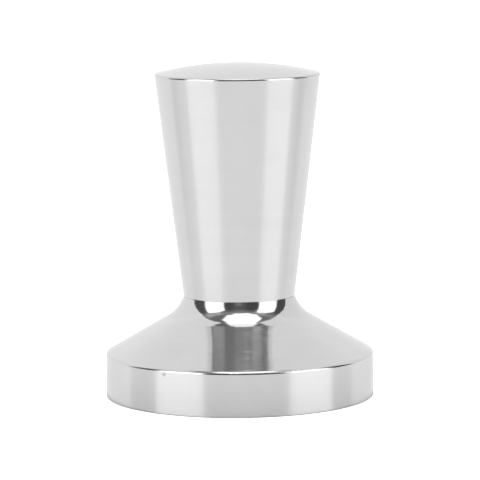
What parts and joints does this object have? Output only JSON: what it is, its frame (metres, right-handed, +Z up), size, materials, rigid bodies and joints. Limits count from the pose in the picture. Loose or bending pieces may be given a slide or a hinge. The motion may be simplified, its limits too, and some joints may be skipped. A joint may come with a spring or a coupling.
{
  "type": "espresso tamper",
  "caption": "Polished metal espresso tamper: a tapered grip with a gently domed top screws down on a flared foot with a straight rim and a flat tamping face.",
  "frame": {"origin": "centre of the flat tamping face, at the bottom", "axes": "+Z up along the turned axis, from the tamping face to the domed top; +X and +Y are any two directions across it"},
  "size_m": [0.058, 0.058, 0.072],
  "materials": {
    "base_aluminium": "polished, with fine turning lines",
    "handle_aluminium": "polished, with fine turning lines",
    "stud_steel": "plain stainless, rolled thread",
    "insert_steel": "plain stainless, turned",
    "seal_rubber": "matte black nitrile"
  },
  "bodies": {
    "base": {"base": "base_aluminium", "stud": "stud_steel"},
    "joint_ring": {"joint_o_ring": "seal_rubber"},
    "handle": {"handle": "handle_aluminium", "handle_thread_insert": "insert_steel"}
  },
  "joints": [
    {"name": "handle_rise", "type": "slide", "parent": "base", "child": "joint_ring", "axis": [0, 0, 1], "range_m": [0, 0.01205]},
    {"name": "handle_turn", "type": "hinge", "parent": "joint_ring", "child": "handle", "pos_m": [0, 0, 0.02185], "axis": [0, 0, 1], "range_deg": [0, 3456]}
  ],
  "couplings": [
    {"joint": "handle_rise", "follows": "handle_turn", "m_per_rad": 0.00019894}
  ]
}
